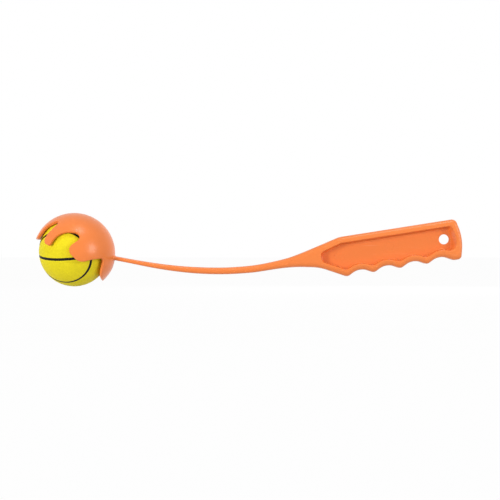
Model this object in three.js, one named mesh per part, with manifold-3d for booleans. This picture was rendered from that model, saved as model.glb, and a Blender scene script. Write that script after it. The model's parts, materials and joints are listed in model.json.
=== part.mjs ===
// Dog ball thrower: one plastic moulding (cup, wand and handle) with a rubber ball in its cup.
// Millimetres. X runs along the thrower to the butt, Z is up and Y goes through the handle's faces.
// Everything is laid out from the centre of the cup, then centred on the whole part.
import * as THREE from 'three';
import { mergeVertices } from 'three/addons/utils/BufferGeometryUtils.js';
import Module from 'manifold-3d';

const wasm = await Module();
wasm.setup();

const { degToRad, smoothstep, lerp } = THREE.MathUtils;

// Ball, seated against the roof of the cup
const ballRadius = 30;
const seatGap = 0.3;
const ballSteps = 7;

// Cup: a shell with a scalloped mouth that faces forward and down
const ballClearance = 2.3;
const cavityRadius = ballRadius + ballClearance;
const cupWall = 2.6;
const cupRadius = cavityRadius + cupWall;
const mouthTurn = degToRad(236.8);
const cupSectors = 48;
const cupRings = 15;

// The half rim of the mouth, mirrored to the other side. Each corner has its turn about the mouth's
// axis from the middle of the front finger, its reach from the crown, and its rounding, in degrees.
const rimCorners = [
  [9, 102.2, 10],
  [21, 98.8, 5],
  [24.5, 77, 14.2],
  [35.7, 60.2, 3.4],
  [45.1, 65.2, 3.2],
  [42.9, 99.1, 6.4],
  [58.1, 97.1, 2.5],
  [56.2, 76.3, 38.9],
  [96.8, 54.9, 7.9],
  [82.4, 88.8, 8.6],
  [108.1, 94.8, 12],
  [140.2, 70.7, 4.6],
  [150.8, 97.6, 17],
  [175.2, 100.5, 10.2],
];
const rimStep = degToRad(5);
const bowlReach = degToRad(104);
const punchReach = degToRad(150);

// The heel prong leans in from where it leaves the bowl to its tip
const heelLean = 1;
const heelLeanFrom = degToRad(74);
const heelLeanTo = degToRad(100);
const heelHalfTurn = degToRad(48);

// Wand: a flat strap that sags from the cup and thickens into the throat of the handle.
// Each station has its share of the run, of the sag and of the wand's thickness.
const rootSink = 6.9;
const wandRootX = cupRadius - rootSink;
const wandRootZ = -2.6;
const wandRun = 173.9;
const wandSag = 12.1;
const wandThickness = 5.7;
const wandStationShares = [
  [0, 0, 0.57],
  [0.115, 0.315, 0.61],
  [0.233, 0.625, 0.755],
  [0.351, 0.853, 0.87],
  [0.469, 0.98, 0.965],
  [0.587, 0.998, 1],
  [0.705, 0.887, 1.05],
  [0.764, 0.766, 1.09],
  [0.823, 0.609, 1.18],
  [0.882, 0.45, 1.4],
  [0.941, 0.277, 1.925],
  [1, 0.11, 2.69],
];
const wandSamples = 32;
const wandWidthAtCup = 16;
const wandWidth = 14;
const wandWaistShares = [0.05, 0.3];
const wandEndShares = [0.8, 1.12];
const rootStub = 4;
const wandLength = 132;

// Grip, in its own tilted frame: U along the back from the shoulder to the butt, V up from the back.
// The shoulder and the belly are placed from the wand: along from its end, and up from its root.
const gripTilt = degToRad(8.9);
const shoulderAhead = 24.6;
const shoulderRise = 16.8;
const shoulderX = wandRootX + wandRun + shoulderAhead;
const shoulderZ = wandRootZ + shoulderRise;
const shoulderRound = 20;
const gripWidth = 18;
const gripHeight = 34;
const gripLength = 99.4;
const buttCrownShare = 0.138;
const buttCrown = buttCrownShare * gripHeight;
const buttCrownRoundShare = 1.41;
const backCornerRound = 4.5;
const toeCornerRound = 3.6;
const bellyAhead = 7.3;
const bellyDrop = 9.1;
const bellyX = wandRootX + wandRun + bellyAhead;
const bellyZ = wandRootZ - bellyDrop;
const bellyRound = 44;
const edgeRound = 3.4;
const edgeRoundShare = 0.46;
const edgeSteps = 3;
const arcStep = degToRad(16);
const arcChord = 6;

// Finger grooves under the grip: as many crests as fit before the toe, and valleys between them, on a
// zigzag with rounded corners
const firstCrest = 1.4;
const lastCrestGap = 5;
const fingerPitch = 22.9;
const crestCount = 1 + Math.floor((gripLength - firstCrest - lastCrestGap) / fingerPitch);
const fingerSlope = degToRad(28);
const crestRound = 4.5;
const valleyRound = 13.5;

// Recess in each face of the grip, which leaves a thin web and a rim
const webThickness = 3;
const backRim = 5.4;
const buttRim = 3.9;
const fingerRim = 5.5;
const recessCrestRound = 6.5;
const recessValleyRound = 17;
const toeRimShare = 0.188;
const noseReach = 18.5;
const noseHeight = 7.7;
const noseRound = 4.5;
const recessToeRoundShare = 0.162;
const recessCrownRoundShare = 0.45;
const recessButtRound = 3;
const recessBackRound = 8;
const floorChamfer = 1.2;

// Hang hole through the web
const hangHoleRadius = 4.25;
const hangHoleInset = 11.6;
const hangHoleDropShare = 0.4647;
const hangHoleSides = 24;

const overrun = 5;
const weldGap = 0.001;

const plastic = new THREE.MeshStandardMaterial({ color: 0xf18c4f, roughness: 0.45, metalness: 0 });
const rubber = new THREE.MeshStandardMaterial({ color: 0xdecc28, roughness: 0.7, metalness: 0 });

// Solids

function solidOf(geometry) {
  const bare = geometry.clone();
  bare.deleteAttribute('normal');
  bare.deleteAttribute('uv');
  const merged = mergeVertices(bare, weldGap);
  const corners = merged.index.array;
  const kept = [];
  for (let i = 0; i < corners.length; i += 3) {
    const [a, b, c] = corners.slice(i, i + 3);
    if (a !== b && b !== c && c !== a) kept.push(a, b, c);
  }
  return new wasm.Manifold(new wasm.Mesh({
    numProp: 3,
    vertProperties: Float32Array.from(merged.attributes.position.array),
    triVerts: Uint32Array.from(kept),
  }));
}

function geometryOf(solid) {
  const mesh = solid.getMesh();
  const geometry = new THREE.BufferGeometry();
  geometry.setAttribute('position', new THREE.Float32BufferAttribute(mesh.vertProperties, 3));
  geometry.setIndex(Array.from(mesh.triVerts));
  return geometry;
}

function indexedGeometry(points, triangles) {
  const geometry = new THREE.BufferGeometry().setFromPoints(points);
  geometry.setIndex(triangles);
  return geometry;
}

// A loop of corners, each with its rounding, as the points of a closed outline and their inward sides
function roundedLoop(corners, step, longestChord) {
  return corners.flatMap(({ at, round }, i) => {
    const before = corners.at(i - 1).at.clone().sub(at);
    const after = corners[(i + 1) % corners.length].at.clone().sub(at);
    if (!round) {
      const along = after.normalize().sub(before.normalize()).normalize();
      return [{ at, inward: new THREE.Vector2(-along.y, along.x) }];
    }
    const turn = Math.PI - before.angle() + after.angle();
    const sweep = Math.atan2(Math.sin(turn), Math.cos(turn));
    const setback = round * Math.abs(Math.tan(sweep / 2));
    const start = before.clone().setLength(setback).add(at);
    const side = before.clone().rotateAround(new THREE.Vector2(), -Math.sign(sweep) * Math.PI / 2);
    const centre = side.setLength(round).add(start);
    const steps = Math.ceil(Math.abs(sweep) * Math.max(1 / step, round / longestChord));
    return Array.from({ length: steps + 1 }, (_, k) => {
      const point = start.clone().rotateAround(centre, sweep * k / steps);
      return { at: point, inward: centre.clone().sub(point).setLength(Math.sign(sweep)) };
    });
  });
}

// Long straight stretches of a loop get points of their own
function splitLoop(loop, longest) {
  return loop.flatMap((point, i) => {
    const next = loop[(i + 1) % loop.length];
    const pieces = Math.ceil(point.distanceTo(next) / longest);
    return Array.from({ length: pieces }, (_, k) => point.clone().lerp(next, k / pieces));
  });
}

// Cup, in its own frame: Z towards the crown, X towards the front finger

function cupPoint(turn, reach, radius) {
  const flat = Math.sin(reach) * radius;
  return new THREE.Vector3(flat * Math.cos(turn), flat * Math.sin(turn), Math.cos(reach) * radius);
}

// The shell is drawn flat by a projection from the mouth's pole, which keeps round corners round
function flatten(turn, reach) {
  const radius = Math.tan(reach / 2);
  return new THREE.Vector2(radius * Math.cos(turn), radius * Math.sin(turn));
}

function unflatten(point, radius) {
  return cupPoint(point.angle(), 2 * Math.atan(point.length()), radius);
}

function mouthRim() {
  const half = rimCorners.map(([turn, reach, round]) => ({
    at: flatten(degToRad(turn), degToRad(reach)),
    round: degToRad(round) / (1 + Math.cos(degToRad(reach))),
  }));
  const mirrored = half.map(({ at, round }) => ({ at: new THREE.Vector2(at.x, -at.y), round }));
  const rim = roundedLoop([...half, ...mirrored.reverse()], arcStep, rimStep);
  return splitLoop(rim.map(({ at }) => at), rimStep);
}

// A cutter with walls that all point at the centre of the cup, from the rim towards the mouth's pole
function mouthPunch() {
  const rim = mouthRim();
  const pole = Array.from({ length: cupSectors }, (_, k) => (
    flatten(2 * Math.PI * k / cupSectors, punchReach)
  ));
  const faces = THREE.ShapeUtils.triangulateShape(pole, [rim]);
  const loops = [...pole, ...rim];
  const inner = loops.map((point) => unflatten(point, cavityRadius / 2));
  const outer = loops.map((point) => unflatten(point, cupRadius * 2));
  const n = loops.length;
  const triangles = faces.flatMap(([a, b, c]) => [a, c, b, n + a, n + b, n + c]);
  const wall = (i, j) => triangles.push(i, j, n + j, i, n + j, n + i);
  pole.forEach((_, i) => wall(i, (i + 1) % pole.length));
  rim.forEach((_, i) => wall(pole.length + (i + 1) % rim.length, pole.length + i));
  return solidOf(indexedGeometry([...inner, ...outer], triangles));
}

function bowl() {
  const arc = (radius) => Array.from({ length: cupRings + 1 }, (_, k) => {
    const reach = bowlReach * k / cupRings;
    return new THREE.Vector2(radius * Math.sin(reach), radius * Math.cos(reach));
  });
  const profile = [...arc(cavityRadius), ...arc(cupRadius).reverse()];
  const geometry = new THREE.LatheGeometry(profile, cupSectors, Math.PI / cupSectors);
  return solidOf(geometry.rotateX(Math.PI / 2));
}

function leanHeel(geometry) {
  const position = geometry.attributes.position;
  const point = new THREE.Vector3();
  for (let i = 0; i < position.count; i += 1) {
    point.fromBufferAttribute(position, i);
    const reach = Math.acos(point.z / point.length());
    const turn = Math.PI - Math.abs(Math.atan2(point.y, point.x));
    const share = smoothstep(reach, heelLeanFrom, heelLeanTo) * (1 - smoothstep(turn, 0, heelHalfTurn));
    point.setLength(point.length() - heelLean * share);
    position.setXYZ(i, ...point);
  }
  return geometry;
}

const mouthAxis = new THREE.Vector3(Math.cos(mouthTurn), 0, Math.sin(mouthTurn));
const crownAxis = mouthAxis.clone().negate();
const acrossAxis = new THREE.Vector3(0, -1, 0);
const frontAxis = acrossAxis.clone().cross(crownAxis);
const cupPose = new THREE.Matrix4().makeBasis(frontAxis, acrossAxis, crownAxis);

// Wand and handle share one side outline, with X and Z as its axes

function gripPoint(u, v) {
  return new THREE.Vector2(u, v).rotateAround(new THREE.Vector2(), gripTilt)
    .add(new THREE.Vector2(shoulderX, shoulderZ));
}

const fingerRise = Math.tan(fingerSlope) * fingerPitch / 2;
const crestOvershoot = crestRound * (1 / Math.cos(fingerSlope) - 1);
const crestLevel = -gripHeight - crestOvershoot;

// Corners of the finger grooves from the throat to the butt, lifted by the rim where they are a recess
function fingerCorners(lift, crest, valley, first, last) {
  const corners = [];
  for (let k = first; k <= last; k += 1) {
    const u = firstCrest + k * fingerPitch / 2;
    const isCrest = k % 2 === 0;
    corners.push({
      at: gripPoint(u, crestLevel + lift + (isCrest ? 0 : fingerRise)),
      round: isCrest ? crest : valley,
    });
  }
  return corners;
}

const wandCurve = new THREE.CatmullRomCurve3(wandStationShares.map(([run, sag, thickness]) => (
  new THREE.Vector3(
    wandRootX + run * wandRun,
    wandRootZ - sag * wandSag,
    thickness * wandThickness,
  )
)));
const wandStations = wandCurve.getPoints(wandSamples);

function wandEdge(side) {
  return wandStations.map(({ x, y, z }) => ({ at: new THREE.Vector2(x, y + side * z / 2), round: 0 }));
}

function leverOutline() {
  return roundedLoop([
    ...wandEdge(-1),
    { at: new THREE.Vector2(bellyX, bellyZ), round: bellyRound },
    ...fingerCorners(0, crestRound, valleyRound, 0, 2 * crestCount - 2),
    { at: gripPoint(gripLength, crestLevel), round: toeCornerRound },
    { at: gripPoint(gripLength + buttCrown, -gripHeight / 2), round: buttCrownRoundShare * gripHeight },
    { at: gripPoint(gripLength, 0), round: backCornerRound },
    { at: new THREE.Vector2(shoulderX, shoulderZ), round: shoulderRound },
    ...wandEdge(1).reverse(),
  ], arcStep, arcChord);
}

function halfWidthAt(x) {
  const share = (x - wandRootX) / wandRun;
  const waisted = lerp(wandWidthAtCup, wandWidth, smoothstep(share, ...wandWaistShares));
  return lerp(waisted, gripWidth, smoothstep(share, ...wandEndShares)) / 2;
}

function thicknessAt(x) {
  const next = wandStations.findIndex((station) => station.x > x);
  if (next < 0) return gripHeight;
  if (next === 0) return wandStations[0].z;
  const [low, high] = [wandStations[next - 1], wandStations[next]];
  return lerp(low.z, high.z, (x - low.x) / (high.x - low.x));
}

// The outline as a body with rounded edges all the way round, level by level across its width
function lever() {
  const outline = leverOutline();
  const level = (side, k) => outline.map(({ at, inward }) => {
    const round = Math.min(edgeRound, thicknessAt(at.x) * edgeRoundShare);
    const turn = Math.PI / 2 * k / edgeSteps;
    const inset = at.clone().addScaledVector(inward, round * (1 - Math.cos(turn)));
    const y = side * (halfWidthAt(at.x) - round + round * Math.sin(turn));
    return new THREE.Vector3(inset.x, y, inset.y);
  });
  const steps = Array.from({ length: edgeSteps + 1 }, (_, k) => k);
  const levels = [
    ...steps.map((k) => level(-1, edgeSteps - k)),
    ...steps.map((k) => level(1, k)),
  ];
  const n = outline.length;
  const lastLevel = levels.length - 1;
  const faces = THREE.ShapeUtils.triangulateShape(levels[0].map(({ x, z }) => new THREE.Vector2(x, z)), []);
  const triangles = faces.flatMap(([a, b, c]) => (
    [a, b, c, lastLevel * n + a, lastLevel * n + c, lastLevel * n + b]
  ));
  for (let j = 0; j < lastLevel; j += 1) {
    for (let i = 0; i < n; i += 1) {
      const [a, b] = [j * n + i, j * n + (i + 1) % n];
      triangles.push(a, a + n, b + n, a, b + n, b);
    }
  }
  return solidOf(indexedGeometry(levels.flat(), triangles));
}

// A slab that spans the part between two stations along X
function slab(fromX, toX) {
  const span = (gripLength + wandRun) * 2;
  const geometry = new THREE.BoxGeometry(toX - fromX, span, span);
  return solidOf(geometry.translate((fromX + toX) / 2, 0, 0));
}

// The butt end of the recess runs side by side with the crowned butt
function recessButtAt(v) {
  const slope = Math.atan(2 * buttCrown / gripHeight);
  const crown = buttCrown * (1 - Math.abs(1 + 2 * v / gripHeight));
  return gripPoint(gripLength + crown - buttRim / Math.cos(slope), v);
}

// The nose of the recess runs down to the first crest at the slope of the finger grooves
function recessOutline() {
  const noseBottom = crestLevel + fingerRim + Math.tan(fingerSlope) * (noseReach + firstCrest);
  const loop = roundedLoop([
    { at: gripPoint(-noseReach, noseBottom + noseHeight), round: noseRound },
    { at: gripPoint(-noseReach, noseBottom), round: noseRound },
    ...fingerCorners(fingerRim, recessCrestRound, recessValleyRound, 0, 2 * crestCount - 3),
    { at: recessButtAt((toeRimShare - 1) * gripHeight), round: recessToeRoundShare * gripHeight },
    { at: recessButtAt(-gripHeight / 2), round: recessCrownRoundShare * gripHeight },
    { at: recessButtAt(-backRim), round: recessButtRound },
    { at: gripPoint(0, -backRim), round: recessBackRound },
  ], arcStep, arcChord);
  return loop.map(({ at }) => at);
}

function recess(side) {
  const depth = gripWidth / 2 + overrun;
  const geometry = new THREE.ExtrudeGeometry(new THREE.Shape(recessOutline()), {
    depth: depth - 2 * floorChamfer,
    bevelThickness: floorChamfer,
    bevelSize: floorChamfer,
    bevelOffset: -floorChamfer,
    bevelSegments: 1,
  });
  geometry.rotateX(Math.PI / 2);
  geometry.computeBoundingBox();
  const middle = (geometry.boundingBox.min.y + geometry.boundingBox.max.y) / 2;
  return solidOf(geometry.translate(0, side * (webThickness + depth) / 2 - middle, 0));
}

function hangHole() {
  const centre = gripPoint(gripLength - hangHoleInset, -hangHoleDropShare * gripHeight);
  const geometry = new THREE.CylinderGeometry(hangHoleRadius, hangHoleRadius, gripWidth, hangHoleSides);
  return solidOf(geometry.translate(centre.x, 0, centre.y));
}

// The four sub-parts. The wand meets the cup's stub and the handle face to face.

const rootEndX = cupRadius + rootStub;
const wandEndX = rootEndX + wandLength;
const wholeLever = lever();

function cup() {
  const shell = leanHeel(geometryOf(bowl().subtract(mouthPunch()))).applyMatrix4(cupPose);
  const middleOfWall = new THREE.IcosahedronGeometry(cavityRadius + cupWall / 2, ballSteps);
  const stub = wholeLever.intersect(slab(0, rootEndX)).subtract(solidOf(middleOfWall));
  return geometryOf(solidOf(shell).add(stub));
}

function wand() {
  return geometryOf(wholeLever.intersect(slab(rootEndX, wandEndX)));
}

function handle() {
  const body = wholeLever.intersect(slab(wandEndX, shoulderX + 2 * gripLength));
  return geometryOf(body.subtract(recess(-1)).subtract(recess(1)).subtract(hangHole()));
}

function ball() {
  const geometry = new THREE.IcosahedronGeometry(ballRadius, ballSteps);
  return geometry.translate(0, 0, cavityRadius - ballRadius - seatGap);
}

const thrower = new THREE.Group();
for (const [name, geometry, material] of [
  ['cup', cup(), plastic],
  ['wand', wand(), plastic],
  ['handle', handle(), plastic],
  ['ball', ball(), rubber],
]) {
  const mesh = new THREE.Mesh(geometry, material);
  mesh.name = name;
  thrower.add(mesh);
}
thrower.position.copy(new THREE.Box3().setFromObject(thrower).getCenter(new THREE.Vector3()).negate());

export default thrower;
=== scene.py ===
"""A dog ball thrower: a cup with gripping prongs on a sprung wand, a finger-grooved grip and its ball.

Pieces are modelled in millimetres, the ball about its own centre and the others about the cup's, with
X along the thrower to the butt and Z up. They are brought to their place in metres when finished.
"""

import json
import math
import random

import bmesh
import bpy
from mathutils import Matrix, Vector


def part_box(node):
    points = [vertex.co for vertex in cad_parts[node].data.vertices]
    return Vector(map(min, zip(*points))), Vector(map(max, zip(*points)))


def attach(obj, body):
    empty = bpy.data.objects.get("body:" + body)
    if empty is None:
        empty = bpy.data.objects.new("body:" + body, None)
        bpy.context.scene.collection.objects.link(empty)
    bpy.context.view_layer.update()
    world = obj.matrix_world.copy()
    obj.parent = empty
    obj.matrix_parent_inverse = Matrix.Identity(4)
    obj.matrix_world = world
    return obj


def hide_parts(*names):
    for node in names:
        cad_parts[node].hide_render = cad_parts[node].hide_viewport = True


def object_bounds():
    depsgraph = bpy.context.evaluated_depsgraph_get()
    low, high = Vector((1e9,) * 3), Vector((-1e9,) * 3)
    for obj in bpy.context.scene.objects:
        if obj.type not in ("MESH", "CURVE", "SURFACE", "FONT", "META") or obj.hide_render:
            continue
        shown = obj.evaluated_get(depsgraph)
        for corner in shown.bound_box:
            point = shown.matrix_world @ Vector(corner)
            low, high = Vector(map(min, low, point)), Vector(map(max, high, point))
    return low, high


bl_info = {
    "name": "Dog ball thrower",
    "version": (1, 0, 0),
    "blender": (4, 5, 0),
    "location": "3D View > Sidebar > Thrower",
    "description": "Builds a dog ball thrower with its ball, and a plain studio around it",
    "category": "Object",
}

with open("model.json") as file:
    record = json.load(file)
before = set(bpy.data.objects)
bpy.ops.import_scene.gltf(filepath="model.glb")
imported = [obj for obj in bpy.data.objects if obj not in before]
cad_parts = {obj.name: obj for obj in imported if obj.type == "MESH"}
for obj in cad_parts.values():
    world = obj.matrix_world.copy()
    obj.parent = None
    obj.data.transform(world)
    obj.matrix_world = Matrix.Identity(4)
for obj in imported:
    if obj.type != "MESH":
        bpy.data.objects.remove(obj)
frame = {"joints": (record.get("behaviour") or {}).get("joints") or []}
cad_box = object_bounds()

METRES_PER_MM = 0.001

# How far apart vertices may be and still count as one, or as lying on a plane, in millimetres
CUT_GAP = 1e-5
WELD_GAP = 1e-4
ON_PLANE = 1e-3
RIM_WELD_GAP = 0.01
GRID_SNAP = 0.05

BALL_LOW, BALL_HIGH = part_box("ball")
BALL_CENTRE = (BALL_LOW + BALL_HIGH) / 2
BALL_RADIUS = (BALL_HIGH.x - BALL_LOW.x) / 2
BALL_LIFT = 0.002
CUP_CENTRE = BALL_CENTRE - Vector((0, 0, BALL_LIFT))
STUB_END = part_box("wand")[0].x
HANDLE_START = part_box("handle")[0].x

# The floor lies just under the ball when it has left the cup
RELEASE = frame["joints"][0]
FLOOR_CLEARANCE = 0.001
FLOOR_GAP = FLOOR_CLEARANCE - RELEASE["range_m"][1] * RELEASE["axis"][2]

# The mouth of the cup faces forward and down, and the crown is the cup's own Z
CROWN = Vector((0, 0, 1))
MOUTH_TURN = math.radians(236.8)

# Half of the cup's rim, from the middle of the front finger to the heel: each corner's turn about the
# mouth's axis, its reach from the crown and its rounding, in degrees
RIM_CORNERS = (
    (9, 102.2, 10),
    (21, 98.8, 5),
    (24.5, 77, 14.2),
    (35.9, 59.6, 2.8),
    (42.6, 65.8, 2.8),
    (42.9, 99.1, 6.4),
    (58.1, 97.1, 2.5),
    (56.2, 76.3, 38.9),
    (96.8, 54.9, 7.9),
    (82.4, 88.8, 8.6),
    (108.1, 94.8, 12),
    (140.2, 70.7, 4.6),
    (150.8, 97.6, 17),
    (175.2, 100.5, 10.2),
)

# The cup's skin, drawn on a flat plan, with its rim, its heel and the fillet at its root
PLAN_SCALE = 100
PLAN_GRID = 3.3
RIM_STEP = math.radians(1.8)
RIM_BAND = 3.9
RIM_CHORD = 2.5
RIM_ROUND_STEPS = 3
RIM_SHARP_ANGLE = math.radians(57.3)
HEEL_LEAN = 1
HEEL_LEAN_REACHES = (math.radians(74), math.radians(100))
HEEL_HALF_TURN = math.radians(48)
FILLET_STEPS = 6
SLOPE_RUN = 0.01

# Stations of the wand: each has its share of the run, of the sag and of the thickness
WAND_SHARES = (
    (0, 0, 0.57),
    (0.115, 0.315, 0.61),
    (0.233, 0.625, 0.755),
    (0.351, 0.853, 0.87),
    (0.469, 0.98, 0.965),
    (0.587, 0.998, 1),
    (0.705, 0.887, 1.05),
    (0.764, 0.766, 1.09),
    (0.823, 0.609, 1.18),
    (0.882, 0.45, 1.4),
    (0.941, 0.277, 1.925),
    (1, 0.11, 2.69),
)
WAND_ROOT = Vector((28, -2.6))
WAND_RUN = 173.9
WAND_SAG = 12.1
WAND_SAMPLES = 64
WAND_WAIST_SHARES = (0.05, 0.3)
WAND_FLARE_SHARES = (0.8, 1.12)
THINNEST_FLAT_SHARE = 0.46

# The grip, along its back from the shoulder and up from the back
GRIP_TILT = math.radians(8.9)
SHOULDER = Vector((226.5, 14.2))
SHOULDER_ROUND = 20
BELLY = Vector((209.2, -11.7))
BELLY_ROUND = 44
GRIP_HEIGHT = 34
GRIP_LENGTH = 99.4
BUTT_CROWN_SHARE = 0.123
BUTT_CROWN = BUTT_CROWN_SHARE * GRIP_HEIGHT
BUTT_CROWN_ROUND_SHARE = 1.27
BACK_CORNER_ROUND = 4.5
TOE_CORNER_ROUND = 3.6
CREST_COUNT = 5
FIRST_CREST = 1.4
FINGER_PITCH = 22.9
FINGER_SLOPE = math.radians(28)
CREST_ROUND = 4.5
VALLEY_ROUND = 13.5
CREST_OVERSHOOT = CREST_ROUND * (1 / math.cos(FINGER_SLOPE) - 1)
CREST_LEVEL = -GRIP_HEIGHT - CREST_OVERSHOOT
FINGER_RISE = math.tan(FINGER_SLOPE) * FINGER_PITCH / 2

# The recess in each face of the grip
BACK_RIM = 5.4
BUTT_RIM = 5.7
FINGER_RIM = 5.5
TOE_RIM_SHARE = 0.188
NOSE_REACH = 18.5
NOSE_HEIGHT = 7.7
NOSE_ROUND = 4.5
NOSE_BOTTOM = CREST_LEVEL + FINGER_RIM + math.tan(FINGER_SLOPE) * (NOSE_REACH + FIRST_CREST)
RECESS_CREST_ROUND = 6.5
RECESS_VALLEY_ROUND = 17
RECESS_TOE_ROUND_SHARE = 0.162
RECESS_CROWN_ROUND_SHARE = 0.45
RECESS_BUTT_ROUND = 3
RECESS_BACK_ROUND = 8
SIDES_BEFORE_BUTT = 2 * CREST_COUNT
NOSE_DRAFT = 0.8
FINGER_DRAFT = 0.4
BUTT_DRAFT = 3
BACK_DRAFT = 1
BUTT_BEAD_TIMES = 2
HANG_HOLE_INSET = 11.6
HANG_HOLE_DROP_SHARE = 0.4647
HANG_HOLE_SIDES = 64
HANG_HOLE_LIP = 0.35

# Marks of ejector pins on the web: place, radius, depth and width of the sloped step
PIN_MARKS = (
    (-2.3, -15.7, 3.85, 0.4, 0.7),
    (-6.8, -15.2, 0.45, 0.5, 0.2),
    (41.6, -14.7, 4.3, 0.3, 0.7),
    (76.6, -14.6, 2.6, 0.22, 0.6),
)
PIN_MARK_SIDES = 48

# How finely the rounded edges, the outlines and the flare are drawn
ROUND_STEPS = 6
LIP_STEPS = 3
ARC_CHORD = 1
LONGEST_STRETCH = 4
NEARLY_STRAIGHT = 0.02
LEAST_ROUND = 0.2
FLAT_EDGE = 0.12
FLARE_CUTS = 8
SMOOTH_BELOW = math.radians(60)

# Seams of the ball: two great circles, and a closed loop on each side of the second one. The first
# circle's turns are counted from its middle towards its cross.
SEAM_POLE_A = Vector((-0.085, -0.215, 0.973)).normalized()
SEAM_MIDDLE = Vector((0.996, 0, 0.087)).normalized()
SEAM_CROSS = SEAM_MIDDLE.cross(SEAM_POLE_A)
SEAM_TURN_B = math.radians(103.7)
LOOP_TURN = math.radians(133)
LOOP_REACH = math.radians(52.1)
LOOP_WAVE = math.radians(7.9)
LOOP_EGG = math.radians(16.7)
SLOPE_TURN = 1e-3

# Beside the seam's edge, in millimetres: how near vertices move onto it, half the width of the
# groove's shoulder, where the grain fades in, and half the width of the paint's soft edge
SEAM_SNAP = 0.32
SEAM_SHOULDER = 0.25
SEAM_LIP = (0.4, 1)
SEAM_FEATHER = 0.06

# The ball's grain: pits among higher ground, on a grid split from a coarse one, with their shares of
# the grain's height
GRAIN_START = 3
PIT_CUTS = 4
PIT_HEIGHT_SHARES = (0, 0.25)
GROUND_HEIGHT_SHARES = (0.85, 1)
GRAIN_SEED = 11

# Heights of the finest grain, in metres, and the turn and the scale of the faint rubs
PLASTIC_BUMP = 0.00004
RUBBER_BUMP = 0.00005
RUB_TURN = (0.4, 0.7, 0.3)
RUB_SCALE = (60, 1400, 900)

# Round lamps that face the thrower: name, place, size, power, and whether glossy surfaces mirror them
LAMPS = (
    ("Overhead", (0.2, -0.5, 1.35), 0.6, 5.5, True),
    ("Right", (1.15, -0.8, 0.35), 0.6, 7.5, True),
    ("Left", (-1.0, -1.0, 0.15), 0.4, 10, False),
    ("Back", (0.3, 1.4, 0.4), 0.8, 7, False),
)

# The light from all round, the floor and the camera
SOFT_LIGHT = 0.45
FLOOR_WHITE_SHARE = 0.97
FLOOR_HALF_WIDTH = 12
SENSOR_WIDTH = 36
FARTHEST_SEEN = 30
CAMERA_SHIFT = (0.00091, -0.00036)


# Properties

def length(name, description, default):
    return bpy.props.FloatProperty(
        name=name, description=description, default=default, min=0, precision=5, unit="LENGTH"
    )


def colour(name, description, default):
    return bpy.props.FloatVectorProperty(
        name=name, description=description, default=default, size=4, min=0, max=1, subtype="COLOR"
    )


class ThrowerBallSettings(bpy.types.PropertyGroup):
    radius: length("Radius", "Radius of the ball", BALL_RADIUS)
    seam_width: length("Seam width", "Width of the dark seams", 0.0023)
    seam_depth: length("Seam depth", "Depth of the seams' grooves", 0.00015)
    grain_height: length("Grain height", "Height of the grain above its pits", 0.00022)
    rubber: colour("Rubber", "Colour of the rubber", (0.76, 0.64, 0.014, 1))
    seam: colour("Seam", "Colour of the seams", (0.008, 0.008, 0.008, 1))


class ThrowerCupSettings(bpy.types.PropertyGroup):
    radius: length("Radius", "Outer radius of the cup", 0.0348)
    wall: length("Wall", "Thickness of the cup's wall", 0.0026)
    rim_round: length("Rim rounding", "Rounding of the rim's edges", 0.0006)
    fillet: length("Root fillet", "Fillet where the wand leaves the cup", 0.0018)


class ThrowerLeverSettings(bpy.types.PropertyGroup):
    wand_thickness: length("Wand thickness", "Thickness of the wand at its waist", 0.0057)
    wand_width_at_cup: length("Wand width at the cup", "Width where the wand leaves the cup", 0.016)
    wand_width: length("Wand width", "Width of the wand at its waist", 0.014)
    grip_width: length("Grip width", "Width of the grip", 0.018)
    web: length("Web", "Thickness of the web between the recesses", 0.003)
    edge_round: length("Edge rounding", "Rounding of the grip's outer edges", 0.0039)
    butt_round: length("Butt rounding", "Reach of the rounding at the butt", 0.0028)
    bead_round: length("Bead rounding", "Rounding of the recess's upper edge", 0.0006)
    floor_round: length("Floor rounding", "Rounding where the recess's wall meets the web", 0.001)
    hang_hole: length("Hang hole", "Diameter of the hang hole", 0.0085)


class ThrowerStageSettings(bpy.types.PropertyGroup):
    plastic: colour("Plastic", "Colour of the moulding", (0.83, 0.215, 0.046, 1))
    floor: colour("Floor", "Colour of the floor", (0.65, 0.65, 0.65, 1))
    camera_distance: length("Camera distance", "Distance of the camera from the thrower", 1.2)
    view_width: length("View width", "Width of the view at the thrower", 0.42735)


# Outlines

def smooth_share(value, low, high):
    share = min(max((value - low) / (high - low), 0), 1)
    return share * share * (3 - 2 * share)


def blend_between(low, high, share):
    return low + (high - low) * share


def in_mm(metres):
    return metres / METRES_PER_MM


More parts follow.
